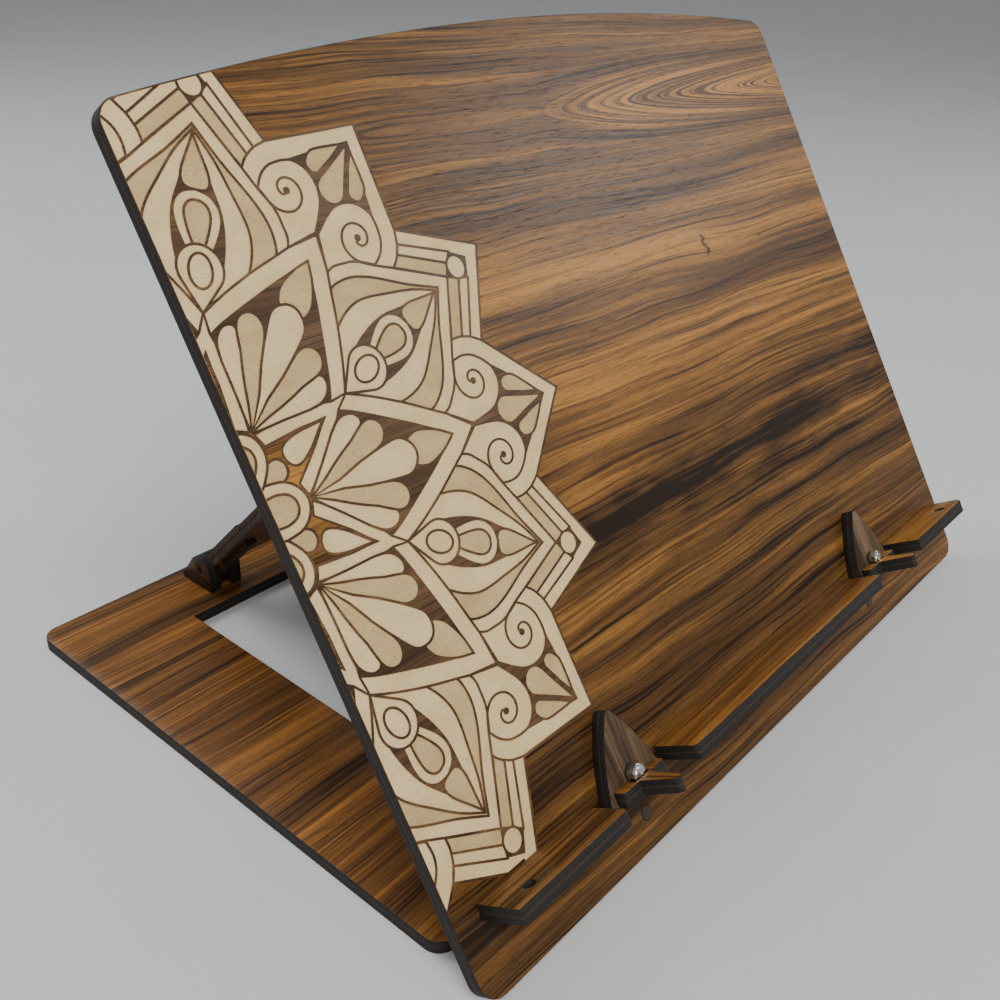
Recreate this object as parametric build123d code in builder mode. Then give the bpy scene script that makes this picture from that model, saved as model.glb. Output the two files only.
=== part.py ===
from build123d import *

import os
from math import asin, atan2, cos, degrees, hypot, radians, sin, sqrt

# ---------------------------------------------------------------------------
# Folding reading stand, laser cut from 3 mm walnut-faced sheets glued in pairs.
# X runs along the board, Y from front to rear, Z up. The origin is on the
# table, under the middle of the whole stand.
# ---------------------------------------------------------------------------

# Stock
sheet = 3.0
panel = 2 * sheet
running_gap = 0.4  # between plates that turn past each other
pin_radius = 2.0
pin_play = 0.05

# Board: straight sides and foot, gently arched top
board_width = 400.0
board_side = 313.0
board_crown = 14.0
board_corner = 9.0
board_tilt = 57.0
board_lift = 4.5  # front face's lower edge above the table

# Base frame, distances measured rearwards from the board's front lower edge
base_width = 389.0
base_front = 27.5
base_rear = 292.0
base_corner = 8.0
window_half = 135.0
window_front = 67.5
window_rear = 252.0

# Ledge, in board measures: up the face, and out from the face
ledge_top = 32.4
ledge_depth = 22.0
ledge_half = 188.5
ledge_corner = 5.0
ledge_inner_corner = 2.5
ledge_hole_radius = 2.5
ledge_hole_inset = 13.5
ledge_hole_out = 14.0
gap_centre = 105.5
gap_half = 22.5
tenon_width = 16.0

# Page holders, measured from their screw
screw_up = 33.5
holder_gap = 0.6
sail_foot_half = 16.5
sail_height = 27.8
sail_side = (10.7, 10.0)  # a point that the bowed side passes through
lever_half = 13.2
lever_bar = 6.0
lever_reach = 29.5
stem_root_radius = 3.6
stem_tip_radius = 2.0
holder_tenon_half = 5.0
washer_radius = 4.0
washer_height = 1.0
nut_flats = 7.0
nut_height = 3.2
screw_head_radius = 3.8
screw_head_height = 2.2
head_gap = 0.3  # between the screw's head and the board's back
drive_flats = 2.5
drive_depth = 1.4

# Front hinge, behind the board's foot
front_pivot = (22.0, 14.0)  # behind the board's lower edge, above the table
front_hinge_x = 100.0
front_head_radius = 6.4
front_foot = (29.0, 54.0)
board_knuckle_foot = (7.0, 28.5)  # up the board
hinge_screw_up = 13.2
hinge_screw_radius = 1.5
hinge_screw_head = 2.8
hinge_screw_length = 14.0

# Rear hinge and strut
rear_pivot = (270.0, 16.0)
rear_hinge_x = 108.0
rear_head_radius = 8.0
rear_foot = (262.0, 286.0)
strut_half = 117.0
strut_angle = 46.4
strut_length = 214.0
strut_start = 12.0
strut_corner = 6.0
strut_window_half = 93.0
strut_window = (48.0, 179.0)
strut_rib_length = 42.0
strut_rib_half = 6.0

# Racks under the board that catch the strut's edge
rack_x = 84.0
rack_tilts = (57.0, 54.0, 51.0, 48.0)
rack_tooth = 5.0
seat_gap = 0.35
seat_half = panel / 2 + 0.5
rack_end = 7.0
rack_tenon = 12.0

# ---------------------------------------------------------------------------
# Directions and planes worked out from those sizes
# ---------------------------------------------------------------------------
tilt = radians(board_tilt)
lean = radians(strut_angle)
ledge_under = ledge_top - panel
front_most = ledge_under * cos(tilt) - lever_reach * sin(tilt)
foot_y = -(front_most + base_rear) / 2
out_of_board = (0, -sin(tilt), cos(tilt))
board_plane = Plane(origin=(0, foot_y, board_lift), x_dir=(1, 0, 0), z_dir=out_of_board)


def on_board(up, out=0.0):
    """Y and Z of a point up the board's front face and out from it."""
    y = foot_y + up * cos(tilt) - out * sin(tilt)
    z = board_lift + up * sin(tilt) + out * cos(tilt)
    return y, z


def board_measures(y, z):
    """The reverse of on_board: how far up the face and how far out."""
    dy = y - foot_y
    dz = z - board_lift
    return dy * cos(tilt) + dz * sin(tilt), dz * cos(tilt) - dy * sin(tilt)


def screw_plane(side, out):
    """A plane along the board with its origin on a page holder's screw."""
    y, z = on_board(screw_up, out)
    return Plane(origin=(side * gap_centre, y, z), x_dir=(1, 0, 0), z_dir=out_of_board)


def ledge_plane(up):
    """A plane square to the board, seen from above: x along, y out, z down."""
    y, z = on_board(up)
    return Plane(origin=(0, y, z), x_dir=(1, 0, 0), z_dir=(0, -cos(tilt), -sin(tilt)))


front_y, front_z = foot_y + front_pivot[0], front_pivot[1]
rear_y, rear_z = foot_y + rear_pivot[0], rear_pivot[1]
strut_plane = Plane(origin=(0, rear_y, rear_z), x_dir=(1, 0, 0), z_dir=(0, -sin(lean), -cos(lean)))


def on_strut(along, off=0.0):
    """Y and Z of a point along the strut from its pivot and above its middle plane."""
    return rear_y - along * cos(lean) + off * sin(lean), rear_z + along * sin(lean) + off * cos(lean)


ledge_spans = {
    "left": (-ledge_half, -gap_centre - gap_half),
    "middle": (-gap_centre + gap_half, gap_centre - gap_half),
    "right": (gap_centre + gap_half, ledge_half),
}
sides = {"left": -1, "right": 1}


def tenon_places(span):
    """Two tenons on each ledge segment, a quarter in from its ends."""
    start, end = span
    inset = (end - start) / 4
    return (start + inset, end - inset)


def save(piece, name):
    piece.label = name
    export_step(piece, f"parts/{name}.step")


os.makedirs("parts", exist_ok=True)

# ---------------------------------------------------------------------------
# Base frame: two sheets, the upper one mortised for the hinge plates
# ---------------------------------------------------------------------------
base_mid = foot_y + (base_front + base_rear) / 2
window_mid = foot_y + (window_front + window_rear) / 2
front_plate_x = panel + running_gap
front_tenon_mid = foot_y + sum(front_foot) / 2
rear_tenon_mid = foot_y + sum(rear_foot) / 2
plate_tenon = 12.0

hinge_plate_places = []
for hinge_x, tenon_mid in ((front_hinge_x, front_tenon_mid), (rear_hinge_x, rear_tenon_mid)):
    for side in sides.values():
        for step in (-1, 1):
            hinge_plate_places.append((side * hinge_x + step * front_plate_x, tenon_mid))

with BuildPart() as base_bottom_sheet:
    with BuildSketch(Plane.XY) as outline:
        with Locations((0, base_mid)):
            RectangleRounded(base_width, base_rear - base_front, base_corner)
        with Locations((0, window_mid)):
            Rectangle(2 * window_half, window_rear - window_front, mode=Mode.SUBTRACT)
    extrude(amount=sheet)
save(base_bottom_sheet.part, "base_bottom_sheet")

with BuildPart() as base_top_sheet:
    with BuildSketch(Plane.XY.offset(sheet)) as outline:
        with Locations((0, base_mid)):
            RectangleRounded(base_width, base_rear - base_front, base_corner)
        with Locations((0, window_mid)):
            Rectangle(2 * window_half, window_rear - window_front, mode=Mode.SUBTRACT)
        with Locations(*hinge_plate_places):
            Rectangle(panel, plate_tenon, mode=Mode.SUBTRACT)
    extrude(amount=sheet)
save(base_top_sheet.part, "base_top_sheet")

# ---------------------------------------------------------------------------
# Board: the front sheet shows, the back sheet carries the rack mortises
# ---------------------------------------------------------------------------
tip_y, tip_z = on_strut(strut_length)
tip_up, tip_out = board_measures(tip_y, tip_z)
pivot_up, pivot_out = board_measures(front_y, front_z)
pivot_span = hypot(rear_y - front_y, rear_z - front_z)
pivot_slope = atan2(rear_z - front_z, rear_y - front_y)


def rack_seat(tilt_degrees):
    """Where the strut's edge meets the rack at one tilt, and how far it leans there."""
    angle = radians(tilt_degrees) - pivot_slope
    rear_up = pivot_up + pivot_span * cos(angle)
    rear_out = pivot_out - pivot_span * sin(angle)
    reach = sqrt(strut_length**2 - (tip_out - rear_out) ** 2)
    return rear_up + reach, asin(reach / strut_length)


seats = [rack_seat(angle) for angle in rack_tilts]
rack_low = seats[0][0] - rack_end
rack_high = seats[-1][0] + 2 * rack_end
rack_tenon_ups = (rack_low + rack_tenon, rack_high - rack_tenon)


def board_outline():
    """The board's shape, with the holes that go through both sheets."""
    with BuildSketch(mode=Mode.PRIVATE) as outline:
        with BuildLine():
            Polyline(
                (-board_width / 2, board_side),
                (-board_width / 2, 0),
                (board_width / 2, 0),
                (board_width / 2, board_side),
            )
            ThreePointArc(
                (board_width / 2, board_side),
                (0, board_side + board_crown),
                (-board_width / 2, board_side),
            )
        make_face()
        fillet(outline.vertices(), board_corner)
        for span in ledge_spans.values():
            for x in tenon_places(span):
                with Locations((x, ledge_top - panel / 2)):
                    Rectangle(tenon_width, panel, mode=Mode.SUBTRACT)
        for side in sides.values():
            with Locations((side * gap_centre, screw_up)):
                Circle(pin_radius + pin_play, mode=Mode.SUBTRACT)
            with Locations((side * front_hinge_x, hinge_screw_up)):
                Circle(hinge_screw_radius, mode=Mode.SUBTRACT)
    return outline.sketch


with BuildPart() as board_front_sheet:
    with BuildSketch(board_plane) as outline:
        add(board_outline())
    extrude(amount=-sheet)
    for side in sides.values():
        with BuildSketch(board_plane) as sink_top:
            with Locations((side * front_hinge_x, hinge_screw_up)):
                Circle(hinge_screw_head)
        with BuildSketch(board_plane.offset(hinge_screw_radius - hinge_screw_head)) as sink_end:
            with Locations((side * front_hinge_x, hinge_screw_up)):
                Circle(hinge_screw_radius)
        loft(mode=Mode.SUBTRACT)
save(board_front_sheet.part, "board_front_sheet")

with BuildPart() as board_back_sheet:
    with BuildSketch(board_plane.offset(-sheet)) as outline:
        add(board_outline())
        for side in sides.values():
            for up in rack_tenon_ups:
                with Locations((side * rack_x, up)):
                    Rectangle(panel, rack_tenon, mode=Mode.SUBTRACT)
    extrude(amount=-sheet)
save(board_back_sheet.part, "board_back_sheet")

# ---------------------------------------------------------------------------
# Ledge: three segments of two sheets, tenoned through the board
# ---------------------------------------------------------------------------
for place, span in ledge_spans.items():
    start, end = span
    for layer, top in (("upper", ledge_top), ("lower", ledge_top - sheet)):
        with BuildPart() as ledge:
            with BuildSketch(ledge_plane(top)) as outline:
                with Locations(((start + end) / 2, ledge_depth / 2)):
                    Rectangle(end - start, ledge_depth)
                front_corners = outline.vertices().group_by(Axis.Y)[-1]
                for corner in front_corners:
                    outer = abs(corner.X) > gap_centre + gap_half + ledge_corner
                    fillet(corner, ledge_corner if outer else ledge_inner_corner)
                for x in tenon_places(span):
                    with Locations((x, -panel / 2)):
                        Rectangle(tenon_width, panel)
                if place in sides:
                    hole_x = sides[place] * (ledge_half - ledge_hole_inset)
                    with Locations((hole_x, ledge_hole_out)):
                        Circle(ledge_hole_radius, mode=Mode.SUBTRACT)
            extrude(amount=sheet)
        save(ledge.part, f"ledge_{place}_{layer}")

# ---------------------------------------------------------------------------
# Racks: toothed plates square to the board's back, one seat for each tilt
# ---------------------------------------------------------------------------
back = -panel
seat_out = tip_out + seat_gap
rack_profile = [(rack_low, back)]
for number, (up, slope) in enumerate(seats):
    low = (up - seat_half * cos(slope), seat_out + seat_half * sin(slope))
    high = (up + seat_half * cos(slope), seat_out - seat_half * sin(slope))
    if number == 0:
        rack_profile.append((rack_low, low[1] + (low[0] - rack_low) * sin(slope) / cos(slope)))
    rack_profile += [low, high, (high[0], tip_out - rack_tooth)]
rack_profile += [(rack_high - rack_end, tip_out - rack_tooth), (rack_high, back)]

for place, side in sides.items():
    with BuildPart() as rack:
        with BuildSketch(Plane.YZ.offset(side * rack_x - panel / 2)) as profile:
            with BuildLine():
                Polyline(*[on_board(up, out) for up, out in rack_profile], close=True)
            make_face()
            for up in rack_tenon_ups:
                corners = [(up - rack_tenon / 2, back), (up + rack_tenon / 2, back)]
                corners += [(up + rack_tenon / 2, back + sheet), (up - rack_tenon / 2, back + sheet)]
                with BuildLine():
                    Polyline(*[on_board(*corner) for corner in corners], close=True)
                make_face()
        extrude(amount=panel)
    save(rack.part, f"rack_{place}")

# ---------------------------------------------------------------------------
# Front hinge: plates on the base, a knuckle on the board and a dowel pin
# ---------------------------------------------------------------------------
for place, side in sides.items():
    for position, step in (("outer", side), ("inner", -side)):
        plate_x = side * front_hinge_x + step * front_plate_x - panel / 2
        with BuildPart() as plate:
            with BuildSketch(Plane.YZ.offset(plate_x)) as profile:
                with Locations((front_y, front_z)):
                    Circle(front_head_radius)
                with Locations((foot_y + sum(front_foot) / 2, panel + 1)):
                    Rectangle(front_foot[1] - front_foot[0], 2)
                make_hull()
                with Locations((front_tenon_mid, panel - sheet / 2)):
                    Rectangle(plate_tenon, sheet)
                with Locations((front_y, front_z)):
                    Circle(pin_radius, mode=Mode.SUBTRACT)
            extrude(amount=panel)
        save(plate.part, f"front_plate_{place}_{position}")

    with BuildPart() as knuckle:
        with BuildSketch(Plane.YZ.offset(side * front_hinge_x - panel / 2)) as profile:
            low, high = board_knuckle_foot
            foot = [(low, back), (high, back), (high - 4, back - 2), (low, back - 2)]
            with BuildLine():
                Polyline(*[on_board(*corner) for corner in foot], close=True)
            make_face()
            with Locations((front_y, front_z)):
                Circle(front_head_radius)
            make_hull()
            with Locations((front_y, front_z)):
                Circle(pin_radius + pin_play, mode=Mode.SUBTRACT)
        extrude(amount=panel)
        with BuildSketch(board_plane) as screw_hole:
            with Locations((side * front_hinge_x, hinge_screw_up)):
                Circle(hinge_screw_radius)
        extrude(amount=-hinge_screw_length, mode=Mode.SUBTRACT)
    save(knuckle.part, f"board_knuckle_{place}")

    with BuildPart() as front_pin:
        pin_length = 3 * panel + 2 * running_gap
        with BuildSketch(Plane.YZ.offset(side * front_hinge_x - pin_length / 2)) as profile:
            with Locations((front_y, front_z)):
                Circle(pin_radius)
        extrude(amount=pin_length)
        chamfer(front_pin.edges().filter_by(GeomType.CIRCLE), 0.4)
    save(front_pin.part, f"front_pin_{place}")

with BuildPart() as hinge_screws:
    for side in sides.values():
        with BuildSketch(board_plane) as head_top:
            with Locations((side * front_hinge_x, hinge_screw_up)):
                Circle(hinge_screw_head)
        with BuildSketch(board_plane.offset(hinge_screw_radius - hinge_screw_head)) as head_end:
            with Locations((side * front_hinge_x, hinge_screw_up)):
                Circle(hinge_screw_radius)
        loft()
        with BuildSketch(board_plane.offset(hinge_screw_radius - hinge_screw_head)) as shank:
            with Locations((side * front_hinge_x, hinge_screw_up)):
                Circle(hinge_screw_radius)
        extrude(amount=hinge_screw_head - hinge_screw_radius - hinge_screw_length)
save(hinge_screws.part, "hinge_screws")

# ---------------------------------------------------------------------------
# Strut: a frame of two sheets, with a rib at each hinge that is lapped into it
# ---------------------------------------------------------------------------
for layer, thickness in (("front", sheet), ("rear", -sheet)):
    with BuildPart() as strut_sheet:
        with BuildSketch(strut_plane) as outline:
            with Locations((0, (strut_start + strut_length) / 2)):
                Rectangle(2 * strut_half, strut_length - strut_start)
            fillet(outline.vertices().group_by(Axis.Y)[-1], strut_corner)
            fillet(outline.vertices().group_by(Axis.Y)[0], ledge_inner_corner)
            with Locations((0, sum(strut_window) / 2)):
                RectangleRounded(
                    2 * strut_window_half,
                    strut_window[1] - strut_window[0],
                    strut_corner,
                    mode=Mode.SUBTRACT,
                )
            for side in sides.values():
                with Locations((side * rear_hinge_x, (strut_start + strut_rib_length) / 2)):
                    Rectangle(panel, strut_rib_length - strut_start, mode=Mode.SUBTRACT)
        extrude(amount=thickness)
    save(strut_sheet.part, f"strut_{layer}_sheet")

for place, side in sides.items():
    for position, step in (("outer", side), ("inner", -side)):
        plate_x = side * rear_hinge_x + step * front_plate_x - panel / 2
        with BuildPart() as plate:
            with BuildSketch(Plane.YZ.offset(plate_x)) as profile:
                with Locations((rear_y, rear_z)):
                    Circle(rear_head_radius)
                with Locations((foot_y + sum(rear_foot) / 2, panel + 1)):
                    Rectangle(rear_foot[1] - rear_foot[0], 2)
                make_hull()
                with Locations((rear_tenon_mid, panel - sheet / 2)):
                    Rectangle(plate_tenon, sheet)
                with Locations((rear_y, rear_z)):
                    Circle(pin_radius, mode=Mode.SUBTRACT)
            extrude(amount=panel)
        save(plate.part, f"rear_plate_{place}_{position}")

    with BuildPart() as rib:
        with BuildSketch(Plane.YZ.offset(side * rear_hinge_x - panel / 2)) as profile:
            with Locations((rear_y, rear_z)):
                Circle(rear_head_radius)
            corners = [(0, -strut_rib_half), (0, strut_rib_half)]
            corners += [(strut_rib_length, strut_rib_half), (strut_rib_length, -strut_rib_half)]
            with BuildLine():
                Polyline(*[on_strut(*corner) for corner in corners], close=True)
            make_face()
            with Locations((rear_y, rear_z)):
                Circle(pin_radius + pin_play, mode=Mode.SUBTRACT)
        extrude(amount=panel)
    save(rib.part, f"strut_knuckle_{place}")

    with BuildPart() as strut_pin:
        pin_length = 3 * panel + 2 * running_gap - 2
        with BuildSketch(Plane.YZ.offset(side * rear_hinge_x - pin_length / 2)) as profile:
            with Locations((rear_y, rear_z)):
                Circle(pin_radius)
        extrude(amount=pin_length)
        chamfer(strut_pin.edges().filter_by(GeomType.CIRCLE), 0.4)
    save(strut_pin.part, f"strut_pin_{place}")

# ---------------------------------------------------------------------------
# Page holders: an upright sail, a two-sheet lever, and the screw they turn on
# ---------------------------------------------------------------------------
sail_front = holder_gap + panel
nut_back = sail_front + washer_height
screw_end = nut_back + nut_height + 0.5
head_back = back - head_gap - screw_head_height
notch_half = washer_radius + 0.5
notch_depth = screw_end + 0.2 - sail_front
sail_foot = ledge_under - screw_up

for place, side in sides.items():
    holder_x = side * gap_centre

    with BuildPart() as sail:
        with BuildSketch(screw_plane(side, holder_gap)) as outline:
            with BuildLine():
                Line((-sail_foot_half, sail_foot), (sail_foot_half, sail_foot))
                ThreePointArc((sail_foot_half, sail_foot), sail_side, (0, sail_height))
                ThreePointArc((0, sail_height), (-sail_side[0], sail_side[1]), (-sail_foot_half, sail_foot))
            make_face()
            fillet(outline.vertices().group_by(Axis.Y)[-1], stem_tip_radius)
            Circle(pin_radius, mode=Mode.SUBTRACT)
            with Locations((0, sail_foot + sheet / 2)):
                Rectangle(2 * holder_tenon_half, sheet, mode=Mode.SUBTRACT)
        extrude(amount=panel)
    save(sail.part, f"holder_{place}_sail")

    for layer, top in (("upper", ledge_top), ("lower", ledge_top - sheet)):
        with BuildPart() as lever:
            with BuildSketch(ledge_plane(top)) as outline:
                with Locations((holder_x, sail_front + lever_bar)):
                    Circle(stem_root_radius)
                with Locations((holder_x, lever_reach - stem_tip_radius)):
                    Circle(stem_tip_radius)
                make_hull()
                with Locations((holder_x, sail_front + lever_bar / 2)):
                    RectangleRounded(2 * lever_half, lever_bar, stem_tip_radius)
                if layer == "upper":
                    with Locations((holder_x, sail_front + notch_depth / 2)):
                        Rectangle(2 * notch_half, notch_depth, mode=Mode.SUBTRACT)
                else:
                    with Locations((holder_x, sail_front + lever_bar / 2)):
                        Rectangle(2 * holder_tenon_half, lever_bar)
                    with Locations((holder_x, sail_front - panel / 2)):
                        Rectangle(2 * holder_tenon_half, panel)
            extrude(amount=sheet)
        save(lever.part, f"holder_{place}_lever_{layer}")

    with BuildPart() as washer:
        with BuildSketch(screw_plane(side, sail_front)) as outline:
            Circle(washer_radius)
            Circle(pin_radius, mode=Mode.SUBTRACT)
        extrude(amount=washer_height)
    save(washer.part, f"holder_{place}_washer")

    with BuildPart() as nut:
        with BuildSketch(screw_plane(side, nut_back)) as outline:
            RegularPolygon(nut_flats / 2, 6, major_radius=False, rotation=30)
            Circle(pin_radius, mode=Mode.SUBTRACT)
        extrude(amount=nut_height)
    save(nut.part, f"holder_{place}_nut")

    with BuildPart() as screw:
        with BuildSketch(screw_plane(side, head_back)) as head:
            Circle(screw_head_radius)
        extrude(amount=screw_head_height)
        rearmost = Axis(origin=(0, 0, 0), direction=out_of_board)
        fillet(screw.edges().filter_by(GeomType.CIRCLE).sort_by(rearmost)[0], 1.2)
        with BuildSketch(screw_plane(side, head_back + screw_head_height)) as shank:
            Circle(pin_radius)
        extrude(amount=screw_end - head_back - screw_head_height)
        with BuildSketch(screw_plane(side, head_back)) as drive:
            RegularPolygon(drive_flats / 2, 6, major_radius=False)
        extrude(amount=drive_depth, mode=Mode.SUBTRACT)
    save(screw.part, f"holder_{place}_screw")

print("strut edge seat", round(tip_up, 2), round(tip_out, 2))
print("seats", [(round(up, 1), round(degrees(slope), 1)) for up, slope in seats])
print("front pivot", round(front_y, 3), front_z, "rear pivot", round(rear_y, 3), rear_z)
print("board foot", round(foot_y, 3))
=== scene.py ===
from math import cos, hypot, pi, radians, sin

import bmesh
import bpy
from mathutils import Matrix, Vector
from mathutils.geometry import delaunay_2d_cdt


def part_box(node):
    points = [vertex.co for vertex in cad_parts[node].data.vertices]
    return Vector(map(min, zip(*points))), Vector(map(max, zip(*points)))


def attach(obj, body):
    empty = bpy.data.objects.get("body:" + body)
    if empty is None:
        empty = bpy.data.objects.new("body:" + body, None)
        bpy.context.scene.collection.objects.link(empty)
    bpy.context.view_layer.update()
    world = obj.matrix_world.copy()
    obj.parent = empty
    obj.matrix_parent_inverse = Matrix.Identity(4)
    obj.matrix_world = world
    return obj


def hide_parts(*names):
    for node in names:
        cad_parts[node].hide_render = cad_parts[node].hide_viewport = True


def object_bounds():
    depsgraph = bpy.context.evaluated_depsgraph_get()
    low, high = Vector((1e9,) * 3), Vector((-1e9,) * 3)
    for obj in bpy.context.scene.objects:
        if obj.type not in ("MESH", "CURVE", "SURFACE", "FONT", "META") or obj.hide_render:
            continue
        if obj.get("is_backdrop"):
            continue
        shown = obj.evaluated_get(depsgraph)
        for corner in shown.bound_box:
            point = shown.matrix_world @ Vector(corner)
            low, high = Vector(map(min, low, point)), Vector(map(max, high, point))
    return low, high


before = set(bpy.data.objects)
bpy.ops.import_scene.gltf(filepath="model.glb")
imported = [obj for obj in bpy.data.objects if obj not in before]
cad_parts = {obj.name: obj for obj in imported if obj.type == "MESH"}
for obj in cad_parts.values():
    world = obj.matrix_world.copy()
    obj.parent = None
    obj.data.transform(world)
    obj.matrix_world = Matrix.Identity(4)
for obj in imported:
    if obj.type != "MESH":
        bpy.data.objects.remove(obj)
cad_low, cad_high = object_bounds()
bpy.ops.object.select_all(action="DESELECT")

# ---------------------------------------------------------------------------
# Studio: a wide pale floor, a big soft box over the reader's left shoulder, one
# behind for the rims, and a tall window at the right for the sheen on the board.
# ---------------------------------------------------------------------------
camera_place = Vector((-0.3836, -0.2884, 0.3304))
camera_right = Vector((0.6573, -0.7580, 0.0377))
camera_up = Vector((0.3493, 0.3455, 0.8698))
camera_data = bpy.data.cameras.new("reader_camera")
camera_data.lens = 39.9
camera_data.sensor_width = 36.0
camera = bpy.data.objects.new("reader_camera", camera_data)
camera.matrix_world = Matrix.Translation(camera_place) @ Matrix(
    (camera_right, camera_up, camera_right.cross(camera_up))
).transposed().to_4x4()
bpy.context.scene.collection.objects.link(camera)
bpy.context.scene.camera = camera

world = bpy.data.worlds.new("studio")
world.use_nodes = True
world.node_tree.nodes["Background"].inputs["Color"].default_value = (0.86, 0.88, 0.90, 1)
world.node_tree.nodes["Background"].inputs["Strength"].default_value = 0.38
bpy.context.scene.world = world


def soft_box(name, place, aim, width, height, power, colour):
    """A rectangular lamp that faces the point it is aimed at."""
    lamp = bpy.data.lights.new(name, "AREA")
    lamp.shape = "RECTANGLE"
    lamp.size = width
    lamp.size_y = height
    lamp.energy = power
    lamp.color = colour
    box = bpy.data.objects.new(name, lamp)
    box.location = place
    box.rotation_euler = (Vector(aim) - Vector(place)).to_track_quat("-Z", "Y").to_euler()
    bpy.context.scene.collection.objects.link(box)


soft_box("key", (-0.8, -1.0, 1.5), (0, 0, 0.12), 1.0, 1.0, 30, (1.0, 0.97, 0.92))
soft_box("rim", (-0.35, 1.25, 1.25), (0, 0, 0.15), 0.9, 0.9, 14, (0.96, 0.98, 1.0))
soft_box("window", (1.25, -0.74, 0.98), (0, 0, 0.2), 0.35, 0.5, 8, (0.97, 0.98, 1.0))


class Shade:
    """A socket of a finish's nodes. Operators on it add Math nodes to the tree."""

    def __init__(self, tree, socket=None):
        self.tree = tree
        self.socket = socket

    def node(self, kind, settings, sockets, output=0):
        made = self.tree.nodes.new("ShaderNode" + kind)
        stops = settings.pop("stops", None)
        for name, value in settings.items():
            setattr(made, name, value)
        if stops:
            ramp = made.color_ramp
            while len(ramp.elements) < len(stops):
                ramp.elements.new(0.5)
            for element, (position, colour) in zip(ramp.elements, stops):
                element.position = position
                element.color = colour
        for name, value in sockets.items():
            if isinstance(value, Shade):
                self.tree.links.new(value.socket, made.inputs[name])
            else:
                made.inputs[name].default_value = value
        return Shade(self.tree, made.outputs[output])

    def math(self, operation, *others):
        return self.node("Math", {"operation": operation}, dict(enumerate((self, *others))))

    def __add__(self, other):
        return self.math("ADD", other)

    def __sub__(self, other):
        return self.math("SUBTRACT", other)

    def __rsub__(self, other):
        return self.math("MULTIPLY_ADD", -1.0, other)

    def __mul__(self, other):
        return self.math("MULTIPLY", other)

    __radd__ = __add__
    __rmul__ = __mul__

    def along(self, direction):
        """How far this vector reaches in a direction."""
        dot = {"operation": "DOT_PRODUCT"}
        return self.node("VectorMath", dot, {0: self, 1: tuple(direction)}, "Value")

    def noise(self, x, y, z, detail=2.0, roughness=0.5):
        """Noise that changes once in a unit of each number given."""
        place = self.node("CombineXYZ", {}, {"X": x, "Y": y, "Z": z})
        settings = {"Vector": place, "Scale": 1.0, "Detail": detail, "Roughness": roughness}
        return self.node("TexNoise", {}, settings)

    def step(self, low, high):
        """0 below low, 1 above high and smooth between."""
        ranges = {"Value": self, "From Min": low, "From Max": high}
        return self.node("MapRange", {"interpolation_type": "SMOOTHSTEP"}, ranges)

    def hump(self, centre, half):
        """1 at the centre, falling smoothly to 0 at that distance from it."""
        return 1 - (self - centre).math("ABSOLUTE").step(0, half)

    def ramp(self, *stops):
        return self.node("ValToRGB", {"stops": stops}, {"Fac": self})

    def blend(self, below, above):
        """The colour below where this is 0, and the one above where it is 1."""
        return self.node("Mix", {"data_type": "RGBA"}, {"Factor": self, 6: below, 7: above}, 2)


def paint(red, green, blue):
    """A paint-chart colour, 0 to 255, as the linear colour that a shader takes."""
    return tuple(((c / 255 + 0.055) / 1.055) ** 2.4 for c in (red, green, blue)) + (1.0,)


def new_finish(name):
    """An empty finish: the material, its shader and a starting point for its nodes."""
    finish = bpy.data.materials.new(name)
    finish.use_nodes = True
    return finish, finish.node_tree.nodes["Principled BSDF"], Shade(finish.node_tree)


def connect(shader, **sockets):
    """Links values to the shader's sockets, whose names are written with underscores."""
    for name, value in sockets.items():
        value.tree.links.new(value.socket, shader.inputs[name.replace("_", " ")])


floor_finish, shader, start = new_finish("pale_paper_sweep")
spot = start.node("TexCoord", {}, {}, "Object")
mottle = start.noise(spot.along((9, 0, 0)), spot.along((0, 9, 0)), 0.0, 3.0)
connect(shader, Base_Color=mottle.blend(paint(196, 198, 200), paint(206, 207, 208)))
shader.inputs["Roughness"].default_value = 0.55
bpy.ops.mesh.primitive_plane_add(size=60, location=(0, 0, cad_low.z))
floor = bpy.context.object
floor.name = "floor"
floor.data.materials.append(floor_finish)
floor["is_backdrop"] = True

# ---------------------------------------------------------------------------
# Walnut-faced sheet, the stock of every cut piece: 3 mm board with a satin
# walnut face whose grain runs along the piece, and edges charred by the laser.
# ---------------------------------------------------------------------------
sheet = 0.003
board_tilt = radians(57)
across_all = Vector((1, 0, 0))
rearward = Vector((0, 1, 0))
upward = Vector((0, 0, 1))
up_board = Vector((0, cos(board_tilt), sin(board_tilt)))
off_board = Vector((0, -sin(board_tilt), cos(board_tilt)))


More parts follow.
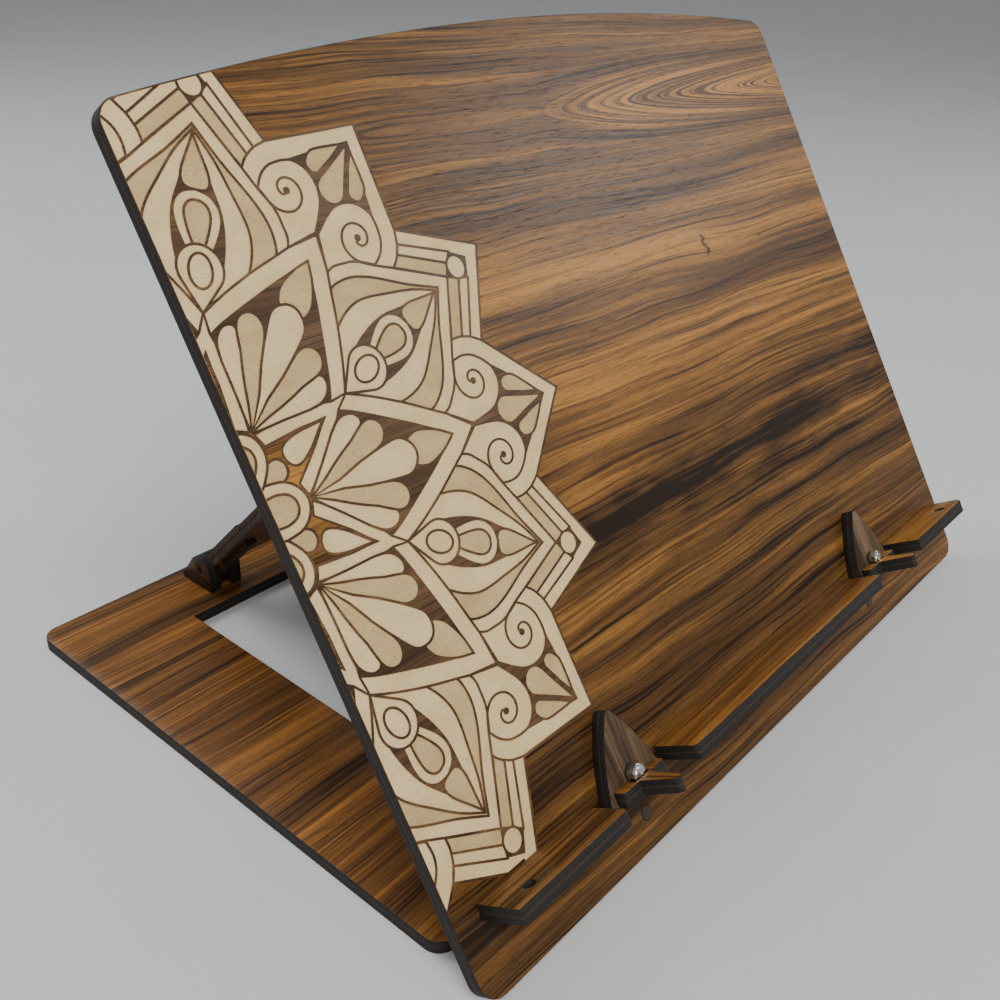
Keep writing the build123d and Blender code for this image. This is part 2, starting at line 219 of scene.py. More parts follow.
def walnut(name, grain, face, dark, middle, light, shift=0.0, ring=None, tone=None):
    """Satin walnut: rings that follow the figure, streaks, fine fibres and short pores."""
    finish, shader, start = new_finish(name)
    spot = start.node("TexCoord", {}, {}, "Object")
    length = spot.along(grain)
    width = spot.along(face.cross(grain))
    depth = spot.along(face) + shift
    wander = start.noise(length * 7, width * 22, depth * 9 + shift, 2.0)
    rings = (ring(length, width) if ring else width) + (wander - 0.5) * 0.012
    bands = start.noise(rings * 80, length * 2.2, depth * 40, 2.0, 0.6)
    streaks = start.noise(rings * 430, length * 6, depth * 90, 3.0, 0.68)
    lines = start.noise(rings * 760, length * 7, depth * 90, 2.0, 0.55).step(0.55, 0.63)
    fibres = start.noise(width * 1900, length * 40, depth * 200, 2.0, 0.6)
    pores = start.noise(width * 2900, length * 150, depth * 900, 1.0).step(0.58, 0.70)
    level = bands * 0.85 + streaks * 0.66 + fibres * 0.16 - lines * 0.17 - 0.36
    if tone:
        level = level + tone(start, length, width)
    colour = level.ramp((0.20, dark), (0.46, middle), (0.74, light))
    colour = (pores * 0.5).blend(colour, dark)
    relief = fibres * 0.6 - pores
    bump = start.node("Bump", {}, {"Strength": 0.12, "Distance": 0.00012, "Height": relief})
    connect(shader, Base_Color=colour, Roughness=0.30 + streaks * 0.14 + pores * 0.1, Normal=bump)
    shader.inputs["Specular IOR Level"].default_value = 0.17
    return finish


def charred(name, through, glue_line, run, shades=(9, 22, 48), seam_shade=70):
    """A laser-cut edge: black-brown char with burn streaks, and the glue line in its middle."""
    finish, shader, start = new_finish(name)
    spot = start.node("TexCoord", {}, {}, "Object")
    distance = (spot.along(through) - glue_line).math("ABSOLUTE")
    seam = 1 - distance.step(0.0001, 0.0005)
    burns = start.noise(spot.along(run) * 900, spot.along(through) * 130, spot.along(rearward) * 700, 3.0)
    soot = start.noise(spot.along(run) * 60, spot.along(through) * 500, spot.along(upward) * 80, 3.0)
    browns = [paint(shade, shade * 0.72, shade * 0.52) for shade in shades]
    colour = (burns * 0.6 + soot * 0.5).ramp(*zip((0.34, 0.60, 0.84), browns))
    colour = (seam * 0.5).blend(colour, paint(seam_shade, seam_shade * 0.77, seam_shade * 0.58))
    bump = start.node("Bump", {}, {"Strength": 0.35, "Distance": 0.00015, "Height": burns})
    connect(shader, Base_Color=colour, Roughness=0.62 + soot * 0.25, Normal=bump)
    return finish


def laser_cut(node, body, face, face_finish, edge_finish, arris=0.00022):
    """The cut piece itself: its arrises eased by the burn, walnut faces and charred edges."""
    bpy.ops.object.select_all(action="DESELECT")
    piece = bpy.data.objects.new(node + "_finished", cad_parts[node].data.copy())
    bpy.context.scene.collection.objects.link(piece)
    piece.select_set(True)
    bpy.context.view_layer.objects.active = piece
    bpy.ops.mesh.customdata_custom_splitnormals_clear()
    bpy.ops.object.mode_set(mode="EDIT")
    bpy.ops.mesh.select_all(action="SELECT")
    bpy.ops.mesh.remove_doubles(threshold=0.000002)
    bpy.ops.mesh.dissolve_limited(angle_limit=radians(0.5))
    bpy.ops.object.mode_set(mode="OBJECT")
    bevel = piece.modifiers.new("arris", "BEVEL")
    bevel.width = arris
    bevel.segments = 2
    bevel.limit_method = "ANGLE"
    bevel.angle_limit = radians(40)
    bpy.ops.object.modifier_apply(modifier="arris")
    bpy.ops.object.shade_smooth_by_angle(angle=radians(25))
    piece.data.materials.clear()
    piece.data.materials.append(face_finish)
    piece.data.materials.append(edge_finish)
    for polygon in piece.data.polygons:
        polygon.material_index = 0 if abs(polygon.normal.dot(face)) > 0.985 else 1
    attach(piece, body)
    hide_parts(node)
    return piece


# ---------------------------------------------------------------------------
# Base frame: two sheets with a wide window, glued face to face, grain from side
# to side. It lies flat on the table and carries both hinges.
# ---------------------------------------------------------------------------
base_walnut = walnut(
    "base_walnut", across_all, upward, paint(38, 25, 14), paint(100, 65, 31), paint(168, 111, 49), 0.31
)
base_char = charred("base_char", upward, sheet, across_all)
for layer in ("bottom", "top"):
    laser_cut(f"base_{layer}_sheet", "base", upward, base_walnut, base_char)

# ---------------------------------------------------------------------------
# Board: two sheets. The front one is engraved at its left with half a rosette;
# its walnut shows a flame figure at the upper right and dark streaks below.
# ---------------------------------------------------------------------------
board_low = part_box("board_front_sheet")[0]
board_corner = Vector((0, board_low.y, board_low.z + sheet * cos(board_tilt)))
corner_up = board_corner.dot(up_board)
corner_off = board_corner.dot(off_board)
flame_height = 0.281
flame_up = flame_height + corner_up
flame_middle = 0.172
flame_half = 0.024
flame_lean = 0.03
flame_stretch = 0.34
tip_rounding = 0.000006


def flame_rings(length, width):
    """Straight grain that opens round a flame: pointed arches nested one in another."""
    offset = width - flame_up + (length - flame_middle) * flame_lean
    rise = (offset * offset + tip_rounding).math("SQRT")
    share = (1 - rise * (1 / flame_half)).math("MAXIMUM", 0.0)
    reach = length.math("MAXIMUM", 0.0)
    return rise - reach * share * flame_stretch


orange_heights = (0.178, 0.228)
streak_height = 0.118
knot_right = 0.077
knot_height = 0.211


def board_tones(start, length, width):
    """Broad light and dark areas, with the height up the board bent by the grain's sway."""
    sway = start.noise(length * 5, width * 9, 0.7, 2.0)
    up = width - corner_up
    height = up + (sway - 0.5) * 0.05 + length * 0.04
    ragged = start.noise(length * 16, width * 75, 0.2, 3.0, 0.65)
    orange = height.hump(orange_heights[0], 0.036) * 0.16 + height.hump(orange_heights[1], 0.026) * 0.12
    streaky = height.hump(streak_height, 0.040) * (ragged.step(0.36, 0.66) * 0.22 + 0.05)
    foot = (1 - height.step(0.03, 0.09)) * (ragged * 0.16 + 0.04)
    arcs = start.noise(flame_rings(length, width) * 620, length * 5, 3.3, 1.0, 0.5).step(0.46, 0.60)
    flame = up.hump(flame_height, 0.030) * length.step(0.0, 0.05) * (0.20 - arcs * 0.30)
    squiggle = start.noise(up * 380, 4.4, 0.1, 2.0)
    side = (length - knot_right + (squiggle - 0.5) * 0.007).math("ABSOLUTE")
    knot = (1 - side.step(0.0005, 0.0021)) * up.hump(knot_height, 0.0075).step(0.05, 0.5) * 0.34
    return orange + flame - streaky - foot - knot


board_walnut = walnut(
    "board_walnut", across_all, off_board, paint(36, 24, 14), paint(102, 70, 35), paint(174, 121, 56), 0.0,
    flame_rings, board_tones,
)
board_char = charred("board_char", off_board, corner_off - sheet, up_board)
laser_cut("board_back_sheet", "board", off_board, board_walnut, board_char)

engraving_depth = 0.3
line_half = 0.42
rim = 0.5
rosette_centre = (-220.6, 178.2)
sector = 45.0


def rounded(points, steps=4):
    """A smooth line through the points, from the first to the last."""
    ends = [points[0]] + list(points) + [points[-1]]
    line = []
    for a, b, c, d in zip(ends, ends[1:], ends[2:], ends[3:]):
        for step in range(steps):
            t = step / steps
            line.append(tuple(
                0.5 * (2 * b[i] + (c[i] - a[i]) * t + (2 * a[i] - 5 * b[i] + 4 * c[i] - d[i]) * t**2
                       + (3 * b[i] - a[i] - 3 * c[i] + d[i]) * t**3)
                for i in (0, 1)
            ))
    return line + [points[-1]]


def flipped(points, axis_degrees=0.0):
    """The points' reflection in a line through the rosette's centre, in reverse order."""
    turn = radians(2 * axis_degrees)
    return [(x * cos(turn) + y * sin(turn), x * sin(turn) - y * cos(turn)) for x, y in reversed(points)]


def turned(points, degrees_on):
    turn = radians(degrees_on)
    return [(x * cos(turn) - y * sin(turn), x * sin(turn) + y * cos(turn)) for x, y in points]


def grown(points, distance):
    """The closed outline moved outwards by a distance, or inwards when it is negative."""
    clean = [p for p, q in zip(points, points[1:] + points[:1]) if hypot(p[0] - q[0], p[1] - q[1]) > 0.1]
    area = sum(p[0] * q[1] - q[0] * p[1] for p, q in zip(clean, clean[1:] + clean[:1]))
    side = distance if area > 0 else -distance
    moved = []
    for before, here, after in zip(clean[-1:] + clean[:-1], clean, clean[1:] + clean[:1]):
        first = Vector((here[1] - before[1], before[0] - here[0])).normalized()
        second = Vector((after[1] - here[1], here[0] - after[0])).normalized()
        mitre = first + second
        reach = side * 2 / max(mitre.length_squared, 0.5)
        moved.append((here[0] + mitre.x * reach, here[1] + mitre.y * reach))
    return moved


painted = []  # (finish number, outline), later ones lie over earlier ones
plain, cream, tan, ground = 0, 2, 3, 5


def engrave(kind, outline):
    """Paints one cell: a walnut line round it, and the recessed cell inside the line."""
    if kind == ground:
        painted.append((ground, outline))
    else:
        painted.append((ground, grown(outline, line_half)))
        painted.append((kind, grown(outline, -line_half)))


def on_tips(kind, half):
    """A cell that is symmetric about the axis of each of the five scroll tips."""
    whole = half + flipped(half)
    for count in range(-2, 3):
        engrave(kind, turned(whole, count * sector))


def on_valleys(kind, half):
    """A cell that is symmetric about the axis half way between two scroll tips."""
    whole = half + flipped(half, sector / 2)
    for count in range(-2, 2):
        engrave(kind, turned(whole, count * sector))


def in_pairs(kind, outline):
    """A cell and its reflection on both sides of each scroll tip's axis."""
    for count in range(-2, 3):
        engrave(kind, turned(outline, count * sector))
        engrave(kind, turned(flipped(outline), count * sector))


def from_axis(points):
    """Points given along and off the valley's axis, as points of the sector."""
    return turned([(x, -y) for x, y in points], sector / 2)


joint = (65.7, 27.2)
arm_upper = rounded([joint, (75, 23.4), (87, 17.5), (98, 11.2), (103.7, 8.0)], 3)
frame_outer = rounded([(103.7, 8.0), (107, 9.4), (110, 12.3), (112.6, 15.0), (114.5, 17.9)], 3)
frame_side = rounded([(114.5, 17.9), (116.8, 24.0), (120.5, 31.7), (125.3, 42.2), (130.8, 54.2)], 2)
tip_outer = rounded([(120.5, 31.7), (124, 31.9), (127, 31.4), (130.3, 30.4), (135, 27.7)], 3)
tip_edge = [(140, 22.9), (150, 13.2), (163.9, 0)]
tip_inner = rounded([(117.3, 24.4), (121, 25), (124, 24.9), (127.5, 23.8), (131, 21.3), (135, 17.7)], 3)

# outer bands and the bars of the valleys' points
on_valleys(cream, frame_side[-1:] + [(120.5, 31.7)] + tip_outer[3:] + [(151.8, 62.9)])
in_pairs(cream, [(126.3, 31.5), (130.3, 30.5), (141, 51.8), (136.2, 52.6)])
in_pairs(tan, [(120.7, 31.8), (126.3, 31.5), (136.2, 52.6), (130.8, 54.2)])
on_valleys(ground, [(131.6, 54.5), (136.6, 53.0), (141, 52.2), (143.8, 59.6)])
for count in range(-2, 2):
    bead = [(148.4 + 4.6 * cos(step * pi / 12), 4.6 * sin(step * pi / 12)) for step in range(24)]
    engrave(cream, turned(bead, (count + 0.5) * sector))

# scroll tips
tip_floor = [(114.3, 0), (103.7, 8.0)] + frame_outer[1:] + [(117.3, 24.4)]
on_tips(cream, tip_floor[:-1] + [(116.8, 24.0), (120.5, 31.7)] + tip_outer[1:] + tip_edge)
on_tips(ground, tip_floor + tip_inner[1:] + [(145, 9.6), (156, 0)])
scroll = frame_outer + tip_inner[:-3] + rounded(
    [(132.2, 20.2), (134.7, 16.9), (135.2, 12.3), (134, 8.5),
     (131.3, 5.1), (127, 2.5), (121, 1.2), (114.8, 0.5)], 3
)
in_pairs(cream, scroll)
spiral = []
for step in range(43):
    angle = radians(140 + 10 * step)
    reach = 8.9 - 0.178 * step
    spiral.append((122.8 + reach * cos(angle), 15.3 + reach * sin(angle), angle))
slit = [(x + line_half * cos(a), y + line_half * sin(a)) for x, y, a in spiral]
slit += [(x - line_half * cos(a), y - line_half * sin(a)) for x, y, a in reversed(spiral)]
in_pairs(ground, slit)
in_pairs(ground, [(122.9 + 1.3 * cos(k * pi / 6), 14.9 + 1.3 * sin(k * pi / 6)) for k in range(12)])
on_tips(tan, rounded(
    [(128.5, 0), (129.3, 2.9), (132, 5.1), (135, 5.3), (140, 3.9), (147, 2.0), (154.8, 0)], 3
))
leaf_back = [(135.4, 8.6), (136.3, 11.2), (138.5, 12.3), (141.5, 12.2), (144, 11.0), (148, 7.2), (152.8, 2.2)]
leaf_belly = [(145.5, 3.7), (140.5, 5.3), (136.8, 6.5), (135.4, 8.6)]
in_pairs(tan, rounded(leaf_back, 3) + rounded(leaf_belly, 3))

# leaves round the eyes
on_valleys(cream, arm_upper + frame_outer[1:] + frame_side[1:])
on_valleys(tan, arm_upper[:-3] + rounded(
    [(98.6, 11.0), (101, 11.9), (105, 14.7), (108.5, 18.6),
     (111.5, 23.7), (114, 29.3), (118, 39.1), (124.3, 51.5)], 3
))
on_valleys(cream, arm_upper[:7] + rounded(
    [(87, 17.6), (92, 18.4), (97, 20.1), (101, 22.5), (105, 26.4), (109, 31.2), (117, 41.1), (122.6, 50.8)], 3
))
on_valleys(ground, rounded(
    [joint, (70, 26), (75, 25.1), (80, 25.2), (90, 27.4), (100, 31.8), (108, 38.5), (121.5, 50.3)], 3
))

# eyes: bud, outer loop with its petal, and the ring round the oval
on_valleys(tan, from_axis(rounded(
    [(112, 0), (112.4, 3.3), (114.5, 4.9), (118, 4.7), (122, 3.4), (126, 1.9), (131.3, 0)], 3
)))
on_valleys(cream, from_axis(rounded(
    [(91, 4.4), (97, 6.9), (100.8, 8.0), (104, 8.3), (108, 7.2), (111, 4.2), (112.1, 0)], 3
)))
on_valleys(tan, from_axis(rounded(
    [(92, 1.6), (98, 3.6), (103.5, 4.6), (106.7, 3.7), (108.3, 1.7), (108.5, 0)], 3
)))
ring = [(71.1, 0)] + [(85.7 + 8.1 * cos(radians(a)), 8.1 * sin(radians(a))) for a in range(122, -1, -11)]
on_valleys(cream, from_axis(ring))
oval = [(85 + 5.9 * cos(radians(a)), 4.1 * sin(radians(a))) for a in range(180, -1, -15)]
on_valleys(cream, from_axis(oval))

# kites: right arms, the walnut inside them, and the fans
kite_side = [(36.3, 0), (40, 3.4), (46, 8.9), (54, 16.7), (58.6, 20.5), (60.5, 23.1)]
on_tips(cream, [(60.5, 23.1)] + arm_upper + [(114.3, 0)])
on_tips(ground, kite_side + rounded([(60.5, 23.1), (66, 21.0), (76, 15.9), (90, 8.3), (103.9, 0)], 2)[1:])
on_tips(tan, rounded(
    [(80, 0), (82.5, 4.6), (85, 5.9), (88, 6.4), (91, 5.9), (94, 5.0), (98, 3.3), (103.3, 0)], 3
))
fan_low = [(37.5, 0), (50, 1.6), (60, 4.2), (66, 5.3)]
fan_high = [(37.5, 0.4), (45, 4.0), (50, 6.9), (55, 9.5), (60, 11.8), (64, 14.2)]
on_tips(cream, fan_low + rounded([(72, 6.2), (78, 6.7), (81.5, 5.4), (84, 2.6), (84.7, 0)], 3))
in_pairs(tan, fan_low + rounded(
    [(69.5, 6.0), (72.6, 7.5), (74.7, 10.4), (74.5, 13.6), (72.4, 15.8), (69.6, 16.5), (66.8, 15.8)], 3
) + fan_high[:0:-1])
in_pairs(cream, fan_high + rounded(
    [(66.8, 15.8), (67.2, 17.7), (65.6, 19.8), (63, 20.7), (60, 20.5), (57.5, 19.4)], 3
) + kite_side[3:0:-1])

# arms between the kites, their droplets, and the petals in the middle
on_valleys(cream, [joint] + kite_side[:0:-1] + [(36.6, 0.8), (34.7, 5.6), (46, 14.9), (51, 19.8), (54, 22.4)])
on_valleys(tan, from_axis(rounded([(17, 0), (21, 1.0), (26, 2.6), (31, 3.9), (34.2, 2.8), (35.4, 0)], 3)))
on_valleys(cream, from_axis(rounded([(57.5, 0), (53, 1.4), (47, 3.4), (41, 4.3), (37.5, 3.1), (36.4, 0)], 3)))
on_tips(cream, rounded([(12, 6), (20, 9.0), (26, 8.9), (30, 7.9), (33, 5.8), (35, 2.9), (35.7, 0)], 3))
on_tips(tan, rounded([(12, 3), (22, 5.1), (26.5, 4.9), (29.5, 3.6), (31, 1.5), (31.2, 0)], 3))

board_half = 200.0
board_side = 313.0
board_crown = 14.0
corner_radius = 9.0
crown_radius = (board_half**2 + board_crown**2) / (2 * board_crown)
corner_turn = 1.385  # how far a top corner's arc turns, in radians, before the crown takes over


def board_outline(inset):
    """The board's outline moved inwards: straight foot and sides, a gently arched top."""
    radius = corner_radius - inset
    dome = crown_radius - inset
    dome_centre = board_side + board_crown - crown_radius
    corner_x = board_half - corner_radius
    corner_y = dome_centre + ((crown_radius - corner_radius) ** 2 - corner_x**2) ** 0.5
    steps = 8
    half = [(corner_x + radius * cos(radians(a)), corner_radius + radius * sin(radians(a)))
            for a in (-90 + 90 * s / steps for s in range(steps + 1))]
    half += [(corner_x + radius * cos(a), corner_y + radius * sin(a))
             for a in (corner_turn * s / steps for s in range(steps + 1))]
    half += [(x, dome_centre + (dome**2 - x**2) ** 0.5)
             for x in (corner_x * s / 12 for s in range(11, -1, -1))]
    return half + [(-x, y) for x, y in reversed(half[:-1])]


def clipped(points, border):
    """The part of an outline that lies inside the convex border, which runs anticlockwise."""
    for a, b in zip(border, border[1:] + border[:1]):
        kept = []
        sides = [(b[0] - a[0]) * (y - a[1]) - (b[1] - a[1]) * (x - a[0]) for x, y in points]
        for p, q, s, t in zip(points, points[1:] + points[:1], sides, sides[1:] + sides[:1]):
            if s >= 0:
                kept.append(p)
            if (s >= 0) != (t >= 0):
                share = s / (s - t)
                kept.append((p[0] + (q[0] - p[0]) * share, p[1] + (q[1] - p[1]) * share))
        points = kept
        if len(points) < 3:
            return []
    return points


tenon_ups = (26.4, 32.4)
tenon_half = 8.0
tenon_centres = [-171.125, -145.375, -41.5, 41.5, 145.375, 171.125]
screw_up = 33.5
holder_x = 105.5
hinge_x = 100.0
hinge_screw_up = 13.2
screw_bore = 2.06
hinge_screw_bore = 2.86


def disc(x, y, radius, steps=20):
    return [(x + radius * cos(2 * pi * k / steps), y + radius * sin(2 * pi * k / steps))
            for k in range(steps)]


holes = [[(x - tenon_half, tenon_ups[0]), (x + tenon_half, tenon_ups[0]),
          (x + tenon_half, tenon_ups[1]), (x - tenon_half, tenon_ups[1])] for x in tenon_centres]
for side in (-1, 1):
    holes.append(disc(side * holder_x, screw_up, screw_bore))
    holes.append(disc(side * hinge_x, hinge_screw_up, hinge_screw_bore))

arris = 0.25
holes = [grown(hole, arris) for hole in holes]  # their rims; the walls stand one arris further in
limits = board_outline(rim)
cells = []
for kind, outline in painted:
    shape = clipped([(x + rosette_centre[0], y + rosette_centre[1]) for x, y in outline], limits)
    if shape:
        cells.append((kind, shape))
cells += [(plain, grown(hole, rim)) for hole in holes]

edge_line = board_outline(arris)
points, edges = [], []
for shape in [edge_line] + holes + [shape for kind, shape in cells]:
    first = len(points)
    points += [Vector(point) for point in shape]
    edges += [(first + k, first + (k + 1) % len(shape)) for k in range(len(shape))]
flattened = delaunay_2d_cdt(points, edges, [], 0, 0.004)
flat_points, flat_faces = flattened[0], flattened[2]


def holds(shape, x, y):
    """True if the outline goes round the point."""
    inside = False
    for (ax, ay), (bx, by) in zip(shape, shape[1:] + shape[:1]):
        if (ay > y) != (by > y) and x < (bx - ax) * (y - ay) / (by - ay) + ax:
            inside = not inside
    return inside


ranges = [(min(p[0] for p in s), max(p[0] for p in s), min(p[1] for p in s), max(p[1] for p in s))
          for kind, s in cells]
engraved = bmesh.new()
corners = [engraved.verts.new((p.x, p.y, 0.0)) for p in flat_points]
for triangle in flat_faces:
    x = sum(flat_points[k].x for k in triangle) / len(triangle)
    y = sum(flat_points[k].y for k in triangle) / len(triangle)
    if not holds(edge_line, x, y) or any(holds(hole, x, y) for hole in holes):
        continue
    face = engraved.faces.new([corners[k] for k in triangle])
    for (kind, shape), (left, right, low, high) in zip(reversed(cells), reversed(ranges)):
        if left <= x <= right and low <= y <= high and holds(shape, x, y):
            face.material_index = kind
            break
bmesh.ops.delete(engraved, geom=[v for v in engraved.verts if not v.link_faces], context="VERTS")
bmesh.ops.recalc_face_normals(engraved, faces=engraved.faces)
if sum(face.normal.z for face in engraved.faces) < 0:
    bmesh.ops.reverse_faces(engraved, faces=engraved.faces)
border = [edge for edge in engraved.edges if edge.is_boundary]
outwards = {}
for edge in border:
    loop = edge.link_loops[0]
    here, there = loop.vert, loop.link_loop_next.vert
    run = (there.co - here.co).normalized()
    for vert in (here, there):
        outwards.setdefault(vert, []).append(Vector((run.y, -run.x, 0)))
moves = {}
for vert, normals in outwards.items():
    total = sum(normals, Vector((0, 0, 0)))
    moves[vert] = total * (2 * arris / max(total.length_squared, 0.5)) if len(normals) > 1 else total * arris
arris_foot = Vector((0, 0, -arris))
sheet_foot = Vector((0, 0, -sheet * 1000))
down = {vert: engraved.verts.new(vert.co + move + arris_foot) for vert, move in moves.items()}
foot = {vert: engraved.verts.new(vert.co + move + sheet_foot) for vert, move in moves.items()}
walls = []
for edge in border:
    loop = edge.link_loops[0]
    here, there = loop.vert, loop.link_loop_next.vert
    walls.append(engraved.faces.new([there, here, down[here], down[there]]))
    walls.append(engraved.faces.new([down[there], down[here], foot[here], foot[there]]))
for wall in walls:
    wall.material_index = 1
rear_edges = [edge for edge in engraved.edges if edge.is_boundary]
backing = bmesh.ops.triangle_fill(engraved, use_beauty=True, use_dissolve=False, edges=rear_edges)
for item in backing["geom"]:
    if isinstance(item, bmesh.types.BMFace):
        item.normal_update()
        if item.normal.z > 0:
            item.normal_flip()
sunk = [face for face in engraved.faces if face.material_index in (cream, tan)]
result = bmesh.ops.extrude_face_region(engraved, geom=sunk)
lowered = [item for item in result["geom"] if isinstance(item, bmesh.types.BMVert)]
bmesh.ops.translate(engraved, verts=lowered, vec=(0, 0, -engraving_depth))
bmesh.ops.delete(engraved, geom=sunk, context="FACES")
for face in engraved.faces:
    face.normal_update()
    if face.material_index in (cream, tan) and abs(face.normal.z) < 0.5:
        face.material_index = 4


def put_in_order(parts, key):
    """Gives the mesh's parts one fixed order, because an extrusion leaves them in any."""
    ranks = {part: rank for rank, part in enumerate(sorted(parts, key=key))}
    parts.sort(key=ranks.get)
    parts.index_update()


put_in_order(engraved.verts, lambda vert: tuple(vert.co))
put_in_order(engraved.edges, lambda edge: sorted(vert.index for vert in edge.verts))
put_in_order(engraved.faces, lambda face: sorted(vert.index for vert in face.verts))
engraved_mesh = bpy.data.meshes.new("board_front_engraved")
engraved.to_mesh(engraved_mesh)
engraved.free()
engraved_mesh.transform(
    Matrix.Translation(board_corner)
    @ Matrix((across_all, up_board, off_board)).transposed().to_4x4()
    @ Matrix.Scale(0.001, 4)
)
board_front = bpy.data.objects.new("board_front_engraved", engraved_mesh)
bpy.context.scene.collection.objects.link(board_front)


def bared(name, pale, deep, fleck, amount):
    """Engraved cell: the pale core laid bare, with flecks of fibre and faint beam lines."""
    finish, shader, start = new_finish(name)
    spot = start.node("TexCoord", {}, {}, "Object")
    length = spot.along(across_all)
    height = spot.along(up_board)
    cloud = start.noise(length * 60, height * 90, 0.0, 3.0)
    flecks = start.noise(length * 1500, height * 2100, 0.4, 2.0, 0.7)
    beams = start.noise(length * 25, height * 5200, 0.9, 1.0)
    colour = (cloud * 0.7 + beams * 0.3).step(0.3, 0.75).blend(pale, deep)
    colour = (flecks.step(0.56, 0.70) * amount).blend(colour, fleck)
    relief = flecks * 0.6 + beams * 0.7
    bump = start.node("Bump", {}, {"Strength": 0.35, "Distance": 0.0001, "Height": relief})
    connect(shader, Base_Color=colour, Roughness=0.72 + flecks * 0.2, Normal=bump)
    return finish


cream_core = bared("cream_core", paint(225, 199, 149), paint(208, 179, 128), paint(164, 133, 86), 0.6)
tan_core = bared("tan_core", paint(200, 174, 124), paint(180, 151, 102), paint(136, 107, 66), 0.8)
burnt_wall, shader, start = new_finish("burnt_wall")
spot = start.node("TexCoord", {}, {}, "Object")
soot = start.noise(spot.along(across_all) * 900, spot.along(up_board) * 900, 0.0, 2.0)
connect(shader, Base_Color=soot.blend(paint(70, 46, 30), paint(116, 84, 56)), Roughness=0.6 + soot * 0.3)
rosette_walnut = walnut(
    "rosette_walnut", across_all, off_board, paint(54, 39, 27), paint(82, 60, 41), paint(120, 90, 60)
)
for finish in (board_walnut, board_char, cream_core, tan_core, burnt_wall, rosette_walnut):
    board_front.data.materials.append(finish)
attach(board_front, "board")
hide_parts("board_front_sheet")

# ---------------------------------------------------------------------------
# Ledge: three segments of two sheets each, tenoned through the board and glued.
# The offcuts they come from differ: the left one is darker than the others.
# ---------------------------------------------------------------------------
ledge_top = 0.0324
ledge_glue = corner_up + ledge_top - sheet
ledge_char = charred("ledge_char", up_board, ledge_glue, across_all)
for place, dark, middle, light, shift in (
    ("left", paint(50, 34, 20), paint(122, 84, 46), paint(172, 122, 68), 0.52),
    ("middle", paint(66, 41, 20), paint(146, 98, 46), paint(204, 150, 78), 0.77),
    ("right", paint(72, 46, 21), paint(154, 106, 48), paint(210, 156, 80), 0.93),
):
    ledge_walnut = walnut(f"ledge_{place}_walnut", across_all, up_board, dark, middle, light, shift)
    for layer in ("upper", "lower"):
        laser_cut(f"ledge_{place}_{layer}", "board", up_board, ledge_walnut, ledge_char)

# ---------------------------------------------------------------------------
# Racks and hinge plates: small upright plates of doubled sheet, square to the
# board or the base, tenoned into it. The racks' teeth catch the strut's edge.
# ---------------------------------------------------------------------------
plate_walnut = walnut(
    "plate_walnut", rearward, across_all, paint(24, 17, 13), paint(54, 38, 26), paint(92, 64, 41), 0.11
)
for place in ("left", "right"):
    plates = [(f"rack_{place}", "board"), (f"board_knuckle_{place}", "board")]
    plates += [(f"strut_knuckle_{place}", "strut")]
    plates += [(f"{end}_plate_{place}_{position}", "base") for end in ("front", "rear")
               for position in ("outer", "inner")]
    for node, body in plates:
        low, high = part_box(node)
        plate_char = charred(f"{node}_char", across_all, (low.x + high.x) / 2, up_board)
        laser_cut(node, body, across_all, plate_walnut, plate_char)

# ---------------------------------------------------------------------------
# Strut: a frame of two sheets that folds down on the base behind the board.
# Its upper edge drops into a seat of the racks.
# ---------------------------------------------------------------------------
strut_lean = radians(46.4)
off_strut = Vector((0, sin(strut_lean), cos(strut_lean)))
front_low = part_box("strut_front_sheet")[0]
rear_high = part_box("strut_rear_sheet")[1]
strut_glue = ((front_low + rear_high) / 2).dot(off_strut)
strut_walnut = walnut(
    "strut_walnut", across_all, off_strut, paint(42, 26, 18), paint(94, 60, 37), paint(136, 90, 54), 0.66
)
strut_char = charred("strut_char", off_strut, strut_glue, across_all, (30, 62, 104), 14)
for layer in ("front", "rear"):
    laser_cut(f"strut_{layer}_sheet", "strut", off_strut, strut_walnut, strut_char)

# ---------------------------------------------------------------------------
# Page holders: an upright sail with its grain up the board, and a forked lever
# of two sheets that is lapped into the sail's foot.
# ---------------------------------------------------------------------------
sail_walnut = walnut(
    "sail_walnut", up_board, off_board, paint(34, 26, 21), paint(80, 63, 48), paint(124, 101, 77), 0.23
)
lever_walnut = walnut(
    "lever_walnut", off_board, up_board, paint(72, 45, 20), paint(156, 108, 50), paint(212, 160, 84), 0.38
)
holder_gap = 0.0006
sail_glue = corner_off + holder_gap + sheet
sail_char = charred("sail_char", off_board, sail_glue, up_board)
for place in ("left", "right"):
    body = f"holder_{place}"
    laser_cut(f"holder_{place}_sail", body, off_board, sail_walnut, sail_char)
    for layer in ("upper", "lower"):
        laser_cut(f"holder_{place}_lever_{layer}", body, up_board, lever_walnut, ledge_char, 0.00018)

# ---------------------------------------------------------------------------
# Fasteners: bright zinc nuts and screws with matt black washers on the holders,
# countersunk screws under dark wax in the board's foot, stained dowels in the hinges.
# ---------------------------------------------------------------------------


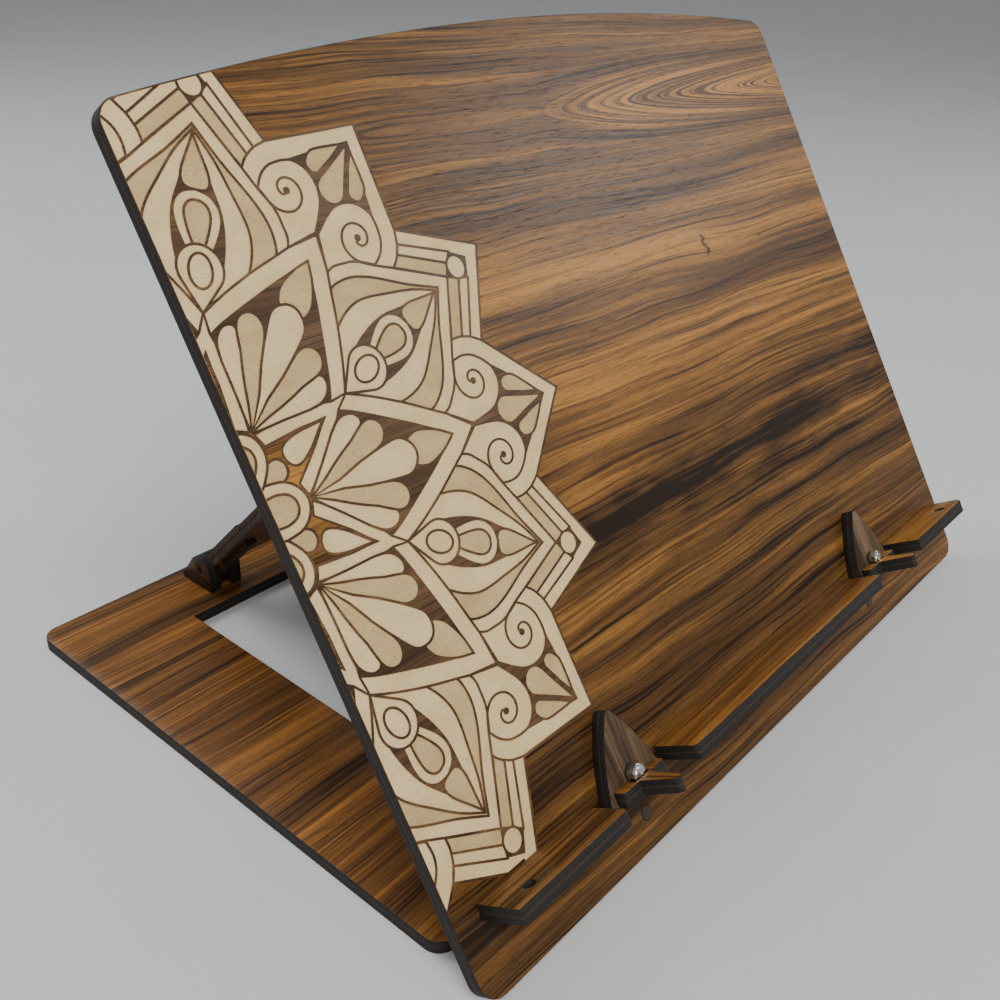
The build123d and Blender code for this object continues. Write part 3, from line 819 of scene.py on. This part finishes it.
def metal(name, low, high, rough, scratch):
    """Turned metal with fine tool marks that change most along the screw's axis."""
    finish, shader, start = new_finish(name)
    spot = start.node("TexCoord", {}, {}, "Object")
    across, up, off = spot.along(across_all), spot.along(up_board), spot.along(off_board)
    marks = start.noise(across * 1500, up * 1500, off * 9000, 2.0)
    cloud = start.noise(across * 300, up * 300, off * 300, 2.0)
    bump = start.node("Bump", {}, {"Strength": scratch, "Distance": 0.00004, "Height": marks})
    connect(shader, Base_Color=cloud.blend(low, high), Roughness=rough + marks * 0.15, Normal=bump)
    shader.inputs["Metallic"].default_value = 1.0
    return finish


zinc = metal("bright_zinc", paint(222, 224, 226), paint(246, 246, 244), 0.16, 0.25)
filled_head, shader, start = new_finish("wax_filled_head")
spot = start.node("TexCoord", {}, {}, "Object")
smear = start.noise(spot.along(across_all) * 260, spot.along(up_board) * 1400, 0.0, 3.0)
connect(shader, Base_Color=smear.blend(paint(30, 21, 14), paint(66, 46, 29)), Roughness=0.42 + smear * 0.25)
washer_black, shader, start = new_finish("washer_black")
spot = start.node("TexCoord", {}, {}, "Object")
across, up, off = spot.along(across_all), spot.along(up_board), spot.along(off_board)
grit = start.noise(across * 2500, up * 2500, off * 2500, 2.0)
connect(shader, Base_Color=grit.blend(paint(18, 18, 18), paint(40, 39, 38)), Roughness=0.5 + grit * 0.3)
stained_dowel, shader, start = new_finish("stained_dowel")
spot = start.node("TexCoord", {}, {}, "Object")
across, back, up = spot.along(across_all), spot.along(rearward), spot.along(upward)
fibre = start.noise(across * 90, back * 2400, up * 2400, 3.0)
connect(shader, Base_Color=fibre.blend(paint(30, 20, 15), paint(74, 50, 34)), Roughness=0.5 + fibre * 0.3)

for place in ("left", "right"):
    for part, finish, slot in (("nut", zinc, "zinc_nut"), ("screw", zinc, "zinc_nut"),
                               ("washer", washer_black, "black_washer")):
        laser_cut(f"holder_{place}_{part}", f"holder_{place}", off_board, finish, finish, 0.00016)
    laser_cut(f"front_pin_{place}", "base", across_all, stained_dowel, stained_dowel, 0.0001)
    laser_cut(f"strut_pin_{place}", "base", across_all, stained_dowel, stained_dowel, 0.0001)
laser_cut("hinge_screws", "board", off_board, filled_head, filled_head, 0.0001)

# The visual model's box, taken the same way as the design's
low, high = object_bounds()
